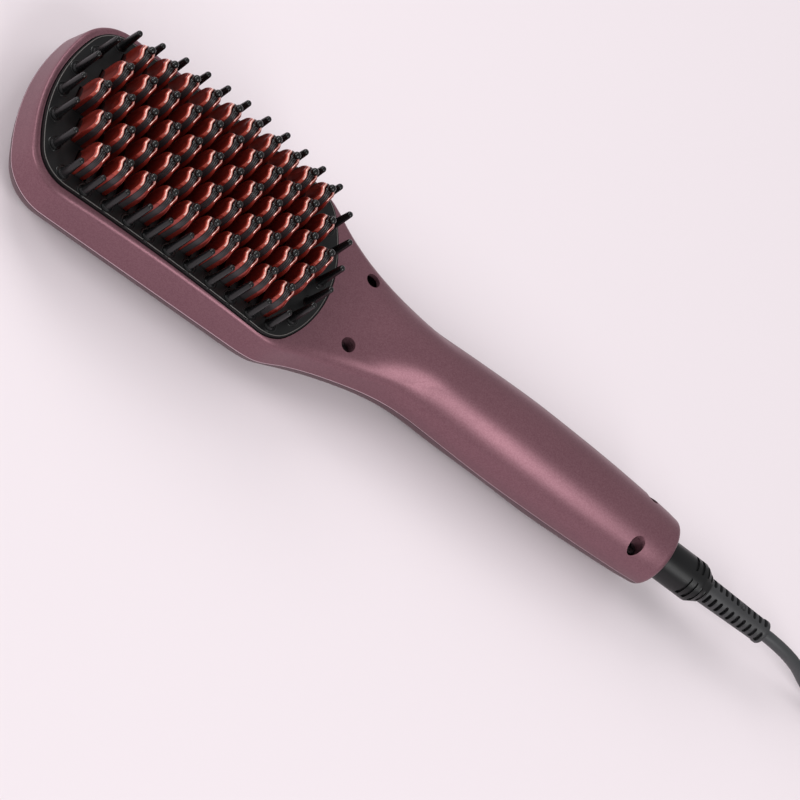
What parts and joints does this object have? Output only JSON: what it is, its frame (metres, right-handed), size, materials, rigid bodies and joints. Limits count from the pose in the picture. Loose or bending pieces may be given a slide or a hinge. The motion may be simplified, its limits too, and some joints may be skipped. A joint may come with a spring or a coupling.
{
  "type": "heated hair straightener brush",
  "caption": "Corded paddle-shaped heated brush: crowned field of metal heating fins with ball-tipped bristles, guard frame, round handle and swivelling strain relief.",
  "frame": {"origin": "centre of the head at the plane that the back rests on", "axes": "+X from head to handle end, +Y across the head, +Z out of the bristle face"},
  "size_m": [0.4423, 0.1007, 0.0458],
  "materials": {
    "shell": "satin metallic mauve lacquer on moulded plastic",
    "black_plastic": "heat-resistant moulded plastic, satin",
    "black_nylon": "nylon bristles, satin",
    "red_fin": "dark red glazed heating fins",
    "aluminium": "plain",
    "ceramic": "stands for ceramic",
    "mica": "stands for mica laminate",
    "spring_steel": "plain",
    "steel": "zinc plated",
    "dark_window": "smoked, polished",
    "white_plastic": "moulded",
    "circuit_board": "solder resist",
    "capacitor_yellow": "moulded box",
    "brass": "plain",
    "nickel": "nickel plated",
    "soft_black": "matt moulded",
    "wire_white": "insulated wire",
    "cord_rubber": "matt jacket"
  },
  "bodies": {
    "casing": {"front_shell": "shell", "back_shell": "shell", "guard_frame": "black_plastic", "guard_tines": "black_nylon", "guard_screws": "steel", "fin_row_1": "red_fin", "fin_row_2": "red_fin", "fin_row_3": "red_fin", "fin_row_4": "red_fin", "fin_row_5": "red_fin", "bristle_row_1": "black_plastic", "bristle_row_2": "black_plastic", "bristle_row_3": "black_plastic", "bristle_row_4": "black_plastic", "bristle_row_5": "black_plastic", "heater_plate": "aluminium", "ptc_heaters": "ceramic", "mica_sheet": "mica", "heater_clamp": "spring_steel", "heater_screws": "steel", "thermal_fuse": "steel", "temperature_sensor": "ceramic", "heat_shield": "mica", "neck_screws": "steel", "end_screws": "steel", "display_window": "dark_window", "display_module": "white_plastic", "switch_bodies": "black_plastic", "display_board": "circuit_board", "control_board": "circuit_board", "board_screws": "steel", "filter_capacitor": "capacitor_yellow", "triac": "black_plastic", "control_chip": "black_plastic", "swivel_bush": "white_plastic", "contact_springs": "brass", "lead_wires": "wire_white", "cord_tube": "cord_rubber", "cord_coil": "cord_rubber", "plug_body": "soft_black", "plug_pins": "nickel"},
    "swivel": {"swivel_barrel": "black_plastic", "strain_relief": "soft_black", "slip_rings": "brass", "swivel_clip": "spring_steel"},
    "power": {"power_button": "black_plastic", "power_plunger": "white_plastic"},
    "plus": {"plus_button": "black_plastic", "plus_plunger": "white_plastic"},
    "minus": {"minus_button": "black_plastic", "minus_plunger": "white_plastic"}
  },
  "joints": [
    {"name": "cord_swivel", "type": "hinge", "parent": "casing", "child": "swivel", "pos_m": [0.225, 0, 0.0161], "axis": [1, 0, 0], "continuous": true},
    {"name": "power_press", "type": "slide", "parent": "casing", "child": "power", "axis": [0, 0, 1], "range_m": [0, 0.0006], "stiffness_N_per_m": 2500},
    {"name": "plus_press", "type": "slide", "parent": "casing", "child": "plus", "axis": [0, 0, 1], "range_m": [0, 0.0006], "stiffness_N_per_m": 2500},
    {"name": "minus_press", "type": "slide", "parent": "casing", "child": "minus", "axis": [0, 0, 1], "range_m": [0, 0.0006], "stiffness_N_per_m": 2500}
  ]
}
